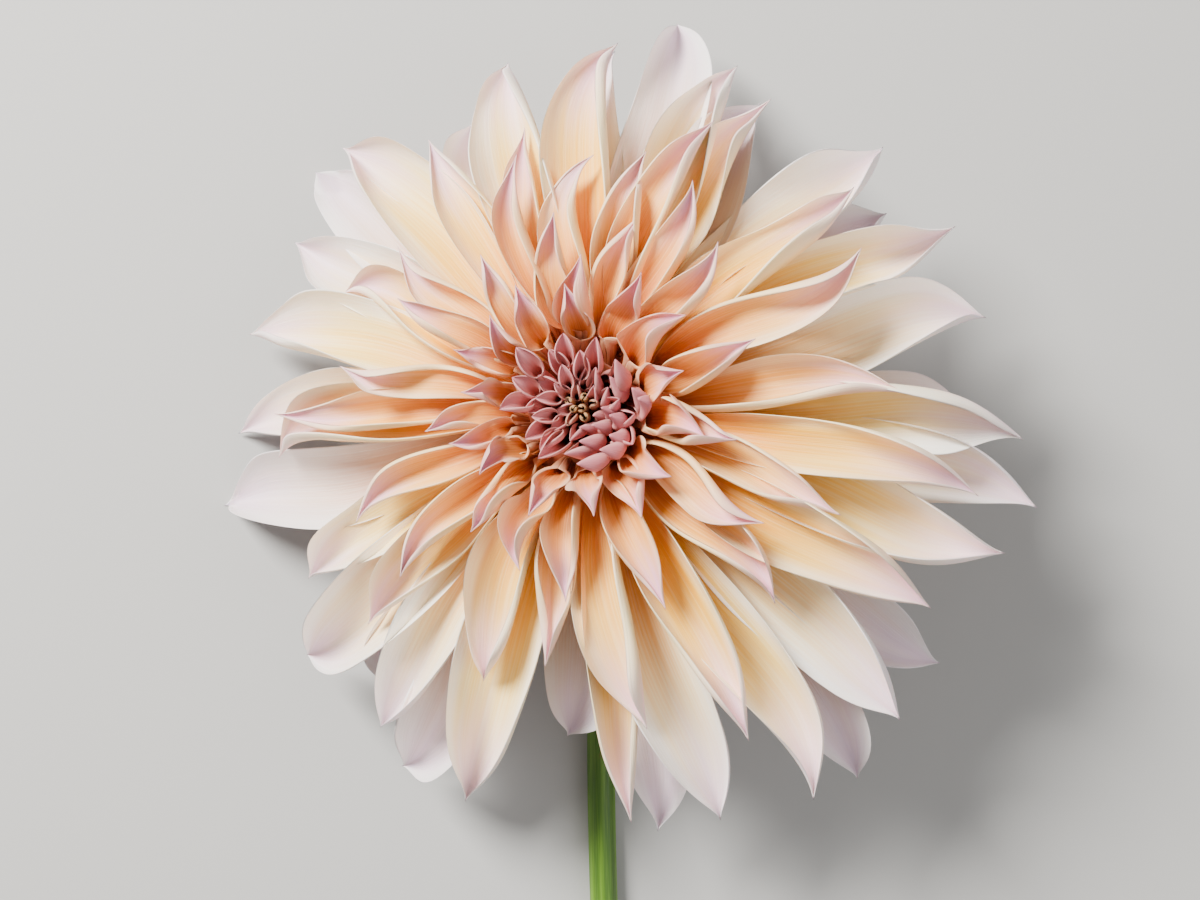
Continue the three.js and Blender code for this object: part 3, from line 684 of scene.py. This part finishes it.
def turned(name, outline, material, flute=0.0):
    """A piece turned about the head's axis. Its outline is points of [radius, height], with each stretch
    cut into equal steps and its corners softened by a running mean of five, and the radius swells and sinks
    around it as a cosine with five waves, flute times the radius high."""
    outline = np.array(outline, float)
    around = TURNED_STEPS_AROUND
    corners = np.arange(len(outline))
    way = np.linspace(0, len(outline) - 1, (len(outline) - 1) * TURNED_STEPS_PER_STRETCH + 1)
    soften = np.ones(5) / 5
    radius = np.interp(way, corners, outline[:, 0])
    height = np.interp(way, corners, outline[:, 1])
    radius[2:-2] = np.convolve(radius, soften, "valid")
    height[2:-2] = np.convolve(height, soften, "valid")
    poles = np.array([[[0, 0, height[0]]], [[0, 0, height[-1]]]])
    radius = radius[1:-1, None]
    height = height[1:-1, None]
    angle = np.linspace(0, 2 * np.pi, around, endpoint=False)
    swell = 1 + flute * np.cos(FLUTES * angle)
    x = radius * np.cos(angle) * swell
    y = radius * np.sin(angle) * swell
    ring = np.stack(np.broadcast_arrays(x, y, height), axis=-1)
    local = np.concatenate([poles[0], ring.reshape(-1, 3), poles[1]])
    points = local @ HEAD_TURN.T + HEAD
    share = np.concatenate([[0], np.repeat(np.linspace(0, 1, len(radius)), around), [1]])
    turn = np.concatenate([[0], np.tile(angle / (2 * np.pi), len(radius)), [0]])
    uv = np.stack([share, turn], axis=1)
    marks = {"tint": np.zeros(len(points))}
    return mesh_object(name, points, loft_faces(1, len(radius), around), uv, marks, material)


def stem_path():
    """The neck's bend down from the receptacle, and the long stretch along the surface to the cut end. Each
    is a cubic curve, with its two handles given."""
    top = head_point(0, 0, STEM_TOP_HEIGHT)
    low = np.array([top[0], top[1] - NECK_RUN, STEM_RADIUS])
    end = np.array([HEAD[0] + STEM_END_ASIDE, HEAD[1] - STEM_LENGTH_BEHIND_HEAD, STEM_RADIUS])
    below_top = top - 10 * HEAD_AXIS
    before_low = np.array([top[0] + 1.5, top[1] - 9, STEM_RADIUS])
    past_low = low + np.array([-4, -50, 0])
    before_end = end + np.array([-3, 60, 0])
    neck = cubic(top, below_top, before_low, low, np.linspace(0, 1, NECK_STEPS + 1)[:-1, None])
    run = cubic(low, past_low, before_end, end, np.linspace(0, 1, RUN_STEPS + 1)[:, None])
    return np.concatenate([neck[0], run[0]]), np.concatenate([neck[1], run[1]])


def stem_piece(material):
    """The stem: a round section with low ridges, radius times (1 + small cosines of 7 and 13 times the
    angle), carried along the path and flattened where it lies."""
    around = STEM_STEPS_AROUND
    middle, ahead = stem_path()
    sunk = np.array([depth for depth, _ in CUT_END])[:, None]
    size = np.concatenate([np.ones(len(middle)), [share for _, share in CUT_END]])
    middle = np.concatenate([middle, middle[-1] - sunk * ahead[-1]])
    ahead = np.concatenate([ahead, np.repeat(ahead[-1:], len(CUT_END), axis=0)])
    across = np.array([1.0, 0, 0])
    side = unit(across - (ahead @ across)[:, None] * ahead)
    up = np.cross(side, ahead)
    angle = (np.arange(around) + 0.5) * 2 * np.pi / around
    ridge = 1
    for height, number, phase in RIDGES:
        ridge = ridge + height * np.cos(number * angle + phase)
    reach = (STEM_RADIUS * size)[:, None] * ridge
    sideways = (reach * np.cos(angle))[..., None] * side[:, None]
    upward = (reach * np.sin(angle))[..., None] * up[:, None]
    ring = pressed(middle[:, None] + sideways + upward, 0)
    points = np.concatenate([middle[:1], ring.reshape(-1, 3), middle[-1:]])
    rings = len(middle)
    far = np.concatenate([[0], np.cumsum(np.linalg.norm(np.diff(middle, axis=0), axis=1))])
    share = np.concatenate([[0], np.repeat(far / STEM_COLOUR_LENGTH, around), [1]])
    turn = np.concatenate([[0], np.tile(angle / (2 * np.pi), rings), [0]])
    uv = np.stack([share, turn], axis=1)
    cut = np.arange(rings) >= rings - len(CUT_END) + 1
    marks = {"cut": np.concatenate([[0], np.repeat(cut, around), [1]])}
    return mesh_object("stem_skin", points, loft_faces(1, rings, around), uv, marks, material)


# Materials

class Worth:
    """A number that varies over a surface. Arithmetic on it adds Math nodes to its material."""

    def __init__(self, finish, socket):
        self.finish = finish
        self.socket = socket

    def math(self, operation, a, b):
        return self.finish.value("ShaderNodeMath", {"operation": operation}, {0: a, 1: b})

    def __add__(self, other):
        return self.math("ADD", self, other)

    def __sub__(self, other):
        return self.math("SUBTRACT", self, other)

    def __rsub__(self, other):
        return self.math("SUBTRACT", other, self)

    def __mul__(self, other):
        return self.math("MULTIPLY", self, other)

    def __abs__(self):
        return self.math("ABSOLUTE", self, 0)

    __radd__ = __add__


class Finish:
    """A material being made from nodes."""

    def __init__(self, name):
        self.material = bpy.data.materials.new(name)
        self.material.use_nodes = True
        self.tree = self.material.node_tree
        self.tree.nodes.clear()

    def node(self, kind, settings=None, sockets=None):
        """Adds a node: its settings first, then the value or the link of each socket, by name or number."""
        node = self.tree.nodes.new(kind)
        for key, value in (settings or {}).items():
            setattr(node, key, value)
        for key, value in (sockets or {}).items():
            source = getattr(value, "socket", value)
            if isinstance(source, bpy.types.NodeSocket):
                self.tree.links.new(source, node.inputs[key])
            else:
                node.inputs[key].default_value = source
        return node

    def value(self, kind, settings=None, sockets=None, output=0):
        return Worth(self, self.node(kind, settings, sockets).outputs[output])

    def mark(self, name):
        """A named point mark of the mesh, as a number."""
        return self.value("ShaderNodeAttribute", {"attribute_name": name}, output="Fac")

    def blade(self):
        """Along the piece from 0 to 1, and across it from 0 to 1, from its UV map."""
        uv = self.node("ShaderNodeUVMap", {"uv_map": "blade"})
        split = self.node("ShaderNodeSeparateXYZ", None, {0: uv.outputs[0]})
        return Worth(self, split.outputs[0]), Worth(self, split.outputs[1])

    def object_place(self):
        return self.node("ShaderNodeTexCoord").outputs["Object"]

    def place(self, x, y, z):
        return self.node("ShaderNodeCombineXYZ", None, {0: x, 1: y, 2: z}).outputs[0]

    def grain(self, vector, scale=1.0, detail=2.0, roughness=0.5):
        """Noise between 0 and 1 at a place."""
        return self.value(
            "ShaderNodeTexNoise", None,
            {"Vector": vector, "Scale": scale, "Detail": detail, "Roughness": roughness},
        )

    def ease(self, amount, start, end):
        """0 before start and 1 after end, eased between them."""
        return self.value(
            "ShaderNodeMapRange", {"interpolation_type": "SMOOTHSTEP"}, {0: amount, 1: start, 2: end},
        )

    def mix(self, share, colour_a, colour_b):
        """From the first colour to the second as the share goes from 0 to 1."""
        return self.node(
            "ShaderNodeMix", {"data_type": "RGBA"}, {0: share, 6: colour_a, 7: colour_b},
        ).outputs[2]

    def done(self, colour, roughness, bump=None, bump_height=0.0001, **sockets):
        """Ends the material with one shader, whose uniform numbers are set on its own sockets."""
        wanted = {"Base Color": colour, "Roughness": roughness, **sockets}
        if bump is not None:
            wanted["Normal"] = self.node(
                "ShaderNodeBump", None, {"Height": bump, "Strength": 1.0, "Distance": bump_height},
            ).outputs[0]
        shader = self.node("ShaderNodeBsdfPrincipled", None, wanted)
        self.node("ShaderNodeOutputMaterial", None, {0: shader.outputs[0]})
        return self.material


def tone(red, green, blue):
    """A colour given as it is seen on a screen, from 0 to 255, as the linear light that a shader takes, by
    the sRGB curve."""
    seen = np.array([red, green, blue]) / 255
    light = np.where(seen <= 0.04045, seen / 12.92, ((seen + 0.055) / 1.055) ** 2.4)
    return (*light.tolist(), 1.0)


# How a petal's skin takes light: waxy, and letting a little of it through, the red furthest
PETAL_LIGHT = {
    "Specular IOR Level": 0.28,
    "Subsurface Weight": 0.12,
    "Subsurface Radius": (1.0, 0.55, 0.35),
    "Subsurface Scale": 0.0012,
}
PETAL_RELIEF = 0.0002
BUD_TIP = (178, 130, 88)

# The colours of each piece's petals, as seen, part by part
TONE_PARTS = ["throat", "blade", "tip", "side", "reverse", "reverse_tip"]
# The throats deepen row by row towards the middle: partly the petals' own deeper colour at the root, partly
# painted shade deep down in the bloom
PETAL_TONES = {
    "skirt_petals": [
        (214, 160, 128), (214, 190, 186), (216, 196, 206), (240, 232, 230), (198, 184, 190), (208, 198, 208),
    ],
    "back_petals": [
        (222, 160, 110), (228, 202, 190), (224, 200, 214), (248, 242, 238), (204, 186, 190), (216, 200, 214),
    ],
    "lower_outer_petals": [
        (236, 152, 46), (250, 218, 152), (236, 208, 218), (255, 254, 250), (238, 220, 204), (236, 210, 226),
    ],
    "upper_outer_petals": [
        (240, 156, 4), (252, 210, 78), (240, 208, 218), (255, 253, 242), (246, 220, 176), (242, 210, 218),
    ],
    "second_row_petals": [
        (236, 136, 1), (250, 190, 1), (238, 196, 214), (255, 246, 220), (248, 212, 132), (240, 196, 208),
    ],
    "third_row_petals": [
        (206, 100, 1), (248, 170, 1), (234, 182, 206), (254, 238, 206), (244, 190, 98), (234, 180, 196),
    ],
    "fourth_row_petals": [
        (174, 72, 1), (246, 158, 1), (230, 170, 200), (252, 226, 188), (238, 172, 86), (230, 170, 188),
    ],
    "fifth_row_petals": [
        (152, 62, 8), (232, 134, 8), (224, 156, 190), (246, 200, 164), (222, 144, 90), (222, 156, 174),
    ],
    "centre_florets_rolled": [
        (126, 46, 32), (188, 96, 86), (208, 136, 142), (220, 164, 156), (184, 94, 90), (198, 120, 130),
    ],
}


class PetalSkin:
    """What the colours of a petal's two faces share: how far along the blade a place is and how far off its
    middle, the patches and the fine lines over it, the streaks that the lines make, and the piece's
    tones."""

    def __init__(self, name):
        self.finish = Finish(name + "_skin")
        self.along, over = self.finish.blade()
        self.off_middle = abs(over * 2 - 1)
        self.tint = self.finish.mark("tint")
        self.patches = self.grain(over, 1.3, 7, 37)
        self.lines = self.grain(over, 1.6, 48, 53, detail=3.0)
        self.pores = self.grain(over, 30, 60, 11)
        self.streak = self.finish.ease(self.lines, 0.42, 0.62)
        self.tones = {part: tone(*seen) for part, seen in zip(TONE_PARTS, PETAL_TONES[name])}

    def grain(self, over, along_scale, over_scale, petal_scale, detail=2.0):
        """Noise with its own scales along and across the blade, and different on each petal."""
        place = self.finish.place(self.along * along_scale, over * over_scale, self.tint * petal_scale)
        return self.finish.grain(place, detail=detail)


def inner_colour(skin):
    """The inner face goes from throat to blade to tip along its middle, with painted shade in the throat's
    colour up the middle where the fold's valley lies, and pales to the side colour towards the margins. Fine
    streaks run lengthwise."""
    finish, along, tones = skin.finish, skin.along, skin.tones
    off_middle, patches = skin.off_middle, skin.patches
    to_blade = finish.ease(along + patches * 0.3, 0.2, 0.8)
    outer_paling = finish.ease(along + patches * 0.25, 0.5, 1.0)
    near_middle = finish.ease(off_middle + patches * 0.3, 0.65, 0.1)
    # Painted shade: the throat's colour runs up the middle of the blade, where the fold's valley would lie in
    # shade
    valley_shade = near_middle * finish.ease(along + skin.lines * 0.2, 1.0, 0.35)
    to_tip = finish.ease(along + patches * 0.25, 0.74, 1.1)
    side_paling = finish.ease(off_middle + patches * 0.35, 0.5, 1.08) * finish.ease(along, 0.22, 0.55)
    dark_streak = (1 - skin.streak) * finish.ease(along, 0.9, 0.3)
    colour = finish.mix(to_blade, tones["throat"], tones["blade"])
    colour = finish.mix(outer_paling * 0.28, colour, tones["side"])
    colour = finish.mix(valley_shade * 0.5, colour, tones["throat"])
    colour = finish.mix(to_tip, colour, tones["tip"])
    colour = finish.mix(side_paling * 0.85, colour, tones["side"])
    colour = finish.mix(skin.streak * 0.12, colour, tones["side"])
    return finish.mix(dark_streak * 0.2, colour, tones["throat"])


def outer_colour(skin):
    """The outer face goes from throat to reverse to its own tip colour, with a painted highlight where the
    margins roll over and face up to the light."""
    finish, along, tones = skin.finish, skin.along, skin.tones
    to_reverse = finish.ease(along, 0.1, 0.55)
    to_tip = finish.ease(along + skin.patches * 0.2, 0.72, 1.1)
    # Painted highlight: the rolled-over margins face up and are painted pale as if lit from above
    rolled_margin_highlight = finish.ease(skin.off_middle, 0.55, 0.85) * finish.ease(along, 0.15, 0.4)
    colour = finish.mix(to_reverse, tones["throat"], tones["reverse"])
    colour = finish.mix(to_tip, colour, tones["reverse_tip"])
    colour = finish.mix(skin.streak * 0.15, colour, tones["side"])
    return finish.mix(rolled_margin_highlight * 0.4, colour, tones["side"])


def petal_finish(name, rim_share=0.35):
    """The skin of that piece's petals: its two faces, a little paler or not by the petal's tint, with pale
    rims, and in the bud tips of the centre a colour of their own."""
    skin = PetalSkin(name)
    finish, along, tones = skin.finish, skin.along, skin.tones
    inside = inner_colour(skin)
    outside = outer_colour(skin)
    colour = finish.mix(finish.ease(finish.mark("inner_face"), -0.3, 0.3), outside, inside)
    colour = finish.mix((skin.tint * 0.5 + 0.5) * 0.07, colour, tones["side"])
    rim = finish.ease(skin.off_middle, 0.955, 1.0) * finish.ease(along, 0.12, 0.35)
    rim_colour = finish.mix(finish.ease(along, 0.5, 0.9), tones["side"], tones["tip"])
    colour = finish.mix(rim * rim_share, colour, rim_colour)
    bud_colour = finish.mix(finish.ease(along, 0.6, 0.95), tones["throat"], tone(*BUD_TIP))
    colour = finish.mix(finish.mark("bud"), colour, bud_colour)
    roughness = 0.42 + skin.lines * 0.14
    relief = skin.lines * 0.6 + skin.pores * 0.4
    return finish.done(colour, roughness, relief, PETAL_RELIEF, **PETAL_LIGHT)


def papery_finish():
    """Thin and straw coloured, greener at the root, with lengthwise lines."""
    finish = Finish("papery_bract")
    along, over = finish.blade()
    lines = finish.grain(finish.place(along * 3, over * 30, finish.mark("tint") * 29), detail=3.0)
    colour = finish.mix(finish.ease(lines, 0.3, 0.7), tone(196, 184, 132), tone(150, 128, 82))
    colour = finish.mix(finish.ease(along, 0.0, 0.35), tone(148, 164, 96), colour)
    return finish.done(colour, 0.45 + lines * 0.2, lines, 0.00015)


def leafy_finish():
    """Leaf green in two tones, with lengthwise lines and blotches, a little brown at the tips."""
    finish = Finish("green_bract")
    along, over = finish.blade()
    lines = finish.grain(finish.place(along * 4, over * 26, finish.mark("tint") * 31), detail=3.0)
    blotch = finish.grain(finish.place(along * 9, over * 9, 0.3), detail=3.0)
    colour = finish.mix(finish.ease(lines + blotch * 0.6, 0.5, 1.1), tone(92, 124, 52), tone(132, 160, 78))
    colour = finish.mix(finish.ease(along, 0.8, 1.0) * 0.5, colour, tone(120, 110, 60))
    return finish.done(colour, 0.5 + lines * 0.15, lines, 0.0002)


def gap_shade_finish():
    """Painted shade: the receptacle's top, seen only in the gaps between the petals' roots, is dark
    rose-brown.
    """
    finish = Finish("receptacle_painted_shade")
    cloud = finish.grain(finish.object_place(), 200.0, 3.0)
    return finish.done(finish.mix(cloud, tone(120, 50, 28), tone(152, 76, 44)), 0.6, cloud, 0.0002)


def stem_finish():
    """Fresh green with paler and darker lengthwise stripes, a few brown scuffs, and a pale pith at the
    cut."""
    finish = Finish("stem_green")
    along, around = finish.blade()
    place = finish.object_place()
    stripes = finish.grain(finish.place(along * 2.5, around * 9, 0.2))
    fine = finish.grain(finish.place(along * 14, around * 60, 0.7), detail=3.0)
    blotch = finish.grain(place, 120.0, 3.0)
    scuff = finish.ease(finish.grain(place, 60.0, 4.0, 0.6), 0.66, 0.74)
    colour = finish.mix(finish.ease(stripes, 0.35, 0.65), tone(60, 98, 12), tone(100, 142, 30))
    colour = finish.mix(finish.ease(fine, 0.4, 0.75) * 0.3, colour, tone(132, 166, 64))
    colour = finish.mix(scuff * 0.7, colour, tone(112, 84, 44))
    colour = finish.mix(finish.mark("cut"), colour, tone(206, 210, 160))
    return finish.done(colour, 0.38 + fine * 0.2, fine * 0.6 + blotch * 0.4, 0.00015)


def floor_finish():
    """Almost even pale grey."""
    finish = Finish("pale_floor")
    cloud = finish.grain(finish.object_place(), 3.0)
    return finish.done(finish.mix(cloud, tone(176, 175, 172), tone(182, 181, 178)), 0.8)


# The flower

def belongs(piece, node):
    """The piece rides with the flower and stands for the node, whose own part is hidden."""
    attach(piece, "root")
    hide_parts(node)


def ray_florets():
    """The rows of petals, the skirt, and the part of the receptacle that carries them."""
    rows = [(row["name"], row_forms(row)) for row in ROWS]
    rows.append(("skirt_petals", skirt_forms()))
    for name, forms in rows:
        belongs(petal_mesh(name, forms, petal_finish(name)), "ray_florets")
    # The crown's finish is painted shade, as dark as the gaps between the petals' roots
    belongs(turned("receptacle_crown", CROWN_OUTLINE, gap_shade_finish()), "ray_florets")


def centre_florets():
    name = "centre_florets_rolled"
    forms = [centre_form(k) for k in range(CENTRE_FLORETS)]
    rolled_margin_highlight = petal_mesh(name, forms, petal_finish(name, rim_share=0.3), along=30, across=14)
    belongs(rolled_margin_highlight, "centre_florets")


def inner_bracts():
    """Eight papery bracts and the collar that they stand on."""
    papery = papery_finish()
    forms = [papery_bract_form(azimuth) for azimuth in evenly_round(PAPERY_BRACTS, PAPERY_BRACTS_FROM)]
    belongs(petal_mesh("papery_bracts", forms, papery, along=24, across=12), "inner_bracts")
    belongs(turned("bract_collar", COLLAR_OUTLINE, papery), "inner_bracts")


def receptacle_and_bracts():
    """Five leafy bracts and the faintly fluted cup of the receptacle."""
    green = leafy_finish()
    forms = [green_bract_form(azimuth) for azimuth in evenly_round(GREEN_BRACTS, GREEN_BRACTS_FROM)]
    bracts = petal_mesh("green_bracts", forms, green, along=30, across=14)
    belongs(bracts, "receptacle_and_bracts")
    cup = turned("receptacle_cup", CUP_OUTLINE, green, CUP_FLUTE)
    belongs(cup, "receptacle_and_bracts")


def stem():
    belongs(stem_piece(stem_finish()), "stem")


# The floor, the light and the camera

FLOOR_SIZE = 6
LIGHTS_AIMED_AT = Vector((0, 0.03, 0.03))
SKY_COLOUR = (1.0, 0.99, 0.98, 1)
SKY_STRENGTH = 0.38


def floor():
    bpy.ops.mesh.primitive_plane_add(size=FLOOR_SIZE)
    plane = bpy.context.object
    plane.name = "floor"
    plane.data.materials.append(floor_finish())


def soft_light(name, place, size, watts, colour):
    light = bpy.data.lights.new(name, "AREA")
    light.shape = "DISK"
    light.size = size
    light.energy = watts
    light.color = colour
    lamp = bpy.data.objects.new(name, light)
    lamp.location = place
    lamp.rotation_euler = (LIGHTS_AIMED_AT - Vector(place)).to_track_quat("-Z", "Y").to_euler()
    bpy.context.scene.collection.objects.link(lamp)


def lighting():
    """A soft window at the upper left, a faint fill from the right, and an even sky."""
    world = bpy.data.worlds.new("soft_sky")
    bpy.context.scene.world = world
    world.use_nodes = True
    sky = world.node_tree.nodes["Background"]
    sky.inputs["Color"].default_value = SKY_COLOUR
    sky.inputs["Strength"].default_value = SKY_STRENGTH
    soft_light("window", place=(-0.75, 0.75, 0.95), size=0.55, watts=68, colour=(1.0, 0.98, 0.95))
    soft_light("fill", place=(0.9, -0.3, 0.9), size=1.2, watts=6, colour=(0.95, 0.97, 1.0))


# The camera looks straight down. Its width of view fits the photograph, whose frame is 1200 pixels wide.
CAMERA_HEIGHT_MM = 490
CAMERA_ABOVE_MM = (HEAD[0] + 1.0, HEAD[1] - 9.3)
MM_PER_PIXEL_AT_HEAD = 0.268
HEAD_PLANE_MM = 45
PHOTO_WIDTH_PX = 1200
SENSOR_MM = 36


def camera():
    data = bpy.data.cameras.new("camera")
    focal_px = (CAMERA_HEIGHT_MM - HEAD_PLANE_MM) / MM_PER_PIXEL_AT_HEAD
    data.sensor_width = SENSOR_MM
    data.lens = SENSOR_MM * focal_px / PHOTO_WIDTH_PX
    view = bpy.data.objects.new("camera", data)
    view.location = (CAMERA_ABOVE_MM[0] * MM, CAMERA_ABOVE_MM[1] * MM, CAMERA_HEIGHT_MM * MM)
    bpy.context.scene.collection.objects.link(view)
    bpy.context.scene.camera = view


# The order of these calls is the order of the draws.
ray_florets()
centre_florets()
inner_bracts()
receptacle_and_bracts()
stem()
floor()
lighting()
camera()
